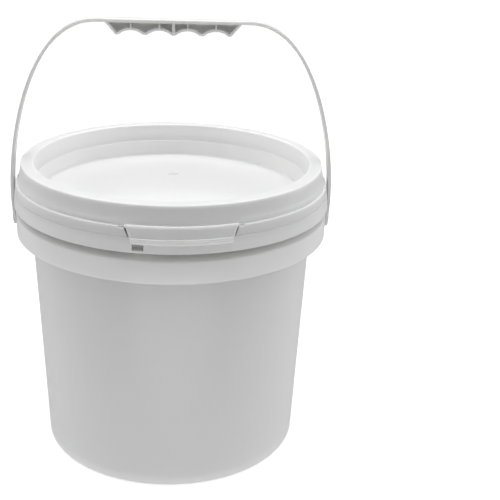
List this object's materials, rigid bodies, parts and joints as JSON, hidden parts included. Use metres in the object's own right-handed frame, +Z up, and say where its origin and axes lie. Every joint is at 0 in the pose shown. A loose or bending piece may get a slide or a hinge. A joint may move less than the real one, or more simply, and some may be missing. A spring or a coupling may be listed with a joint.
{
  "type": "paint pail",
  "caption": "Round white plastic paint pail with a tear-strip press-on lid and a swing bail with a finger grip.",
  "frame": {"origin": "centre of the base, at the height of the foot ring that it stands on", "axes": "+Z up, -Y towards the lid's pull tab, the bail's pivots on the X sides"},
  "size_m": [0.2218, 0.2178, 0.3004],
  "materials": {
    "pail_white": "satin moulded polypropylene",
    "lid_white": "satin moulded polypropylene",
    "bail_white": "satin moulded polypropylene"
  },
  "bodies": {
    "pail": {"pail_body": "pail_white", "lid": "lid_white"},
    "bail": {"bail_handle": "bail_white"}
  },
  "joints": [
    {"name": "bail_hinge", "type": "hinge", "parent": "pail", "child": "bail", "pos_m": [0, 0, 0.16395], "axis": [1, 0, 0], "range_deg": [-127, 127]}
  ]
}
